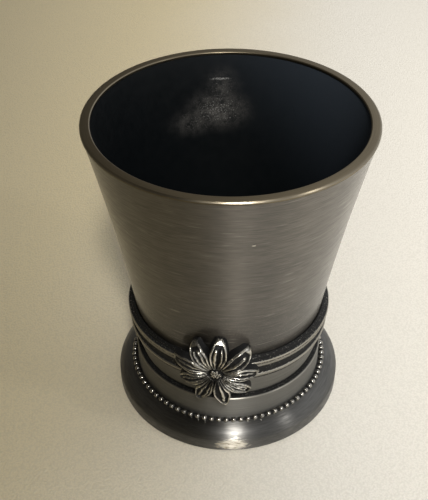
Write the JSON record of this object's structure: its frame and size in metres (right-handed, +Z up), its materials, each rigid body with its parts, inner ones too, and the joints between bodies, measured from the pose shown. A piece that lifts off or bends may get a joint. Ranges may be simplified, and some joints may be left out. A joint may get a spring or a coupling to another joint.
{
  "type": "footed beaker",
  "caption": "Flared metal beaker on a ribbed band and beaded foot, with a black liner and an applied flower, for drinks or small things.",
  "frame": {"origin": "middle of the underside of the pad that the beaker stands on", "axes": "+Z up along the beaker's axis, -Y towards the flower on its front"},
  "size_m": [0.082, 0.082, 0.0985],
  "materials": {
    "rim_satin": "satin",
    "cup_brushed": "brushed",
    "liner_black": "satin",
    "band_antique": "antiqued",
    "neck_satin": "satin",
    "bead_bright": "polished",
    "foot_satin": "satin",
    "plate_plain": "plain",
    "pad_rubber": "matte",
    "flower_antique": "antiqued"
  },
  "bodies": {
    "root": {"rim_ring": "rim_satin", "outer_cup": "cup_brushed", "inner_liner": "liner_black", "band_collar": "band_antique", "upper_rib": "band_antique", "lower_rib": "band_antique", "neck": "neck_satin", "bead_wire": "bead_bright", "foot": "foot_satin", "base_plate": "plate_plain", "base_pad": "pad_rubber", "flower_petals": "flower_antique", "flower_centre": "flower_antique"}
  },
  "joints": []
}
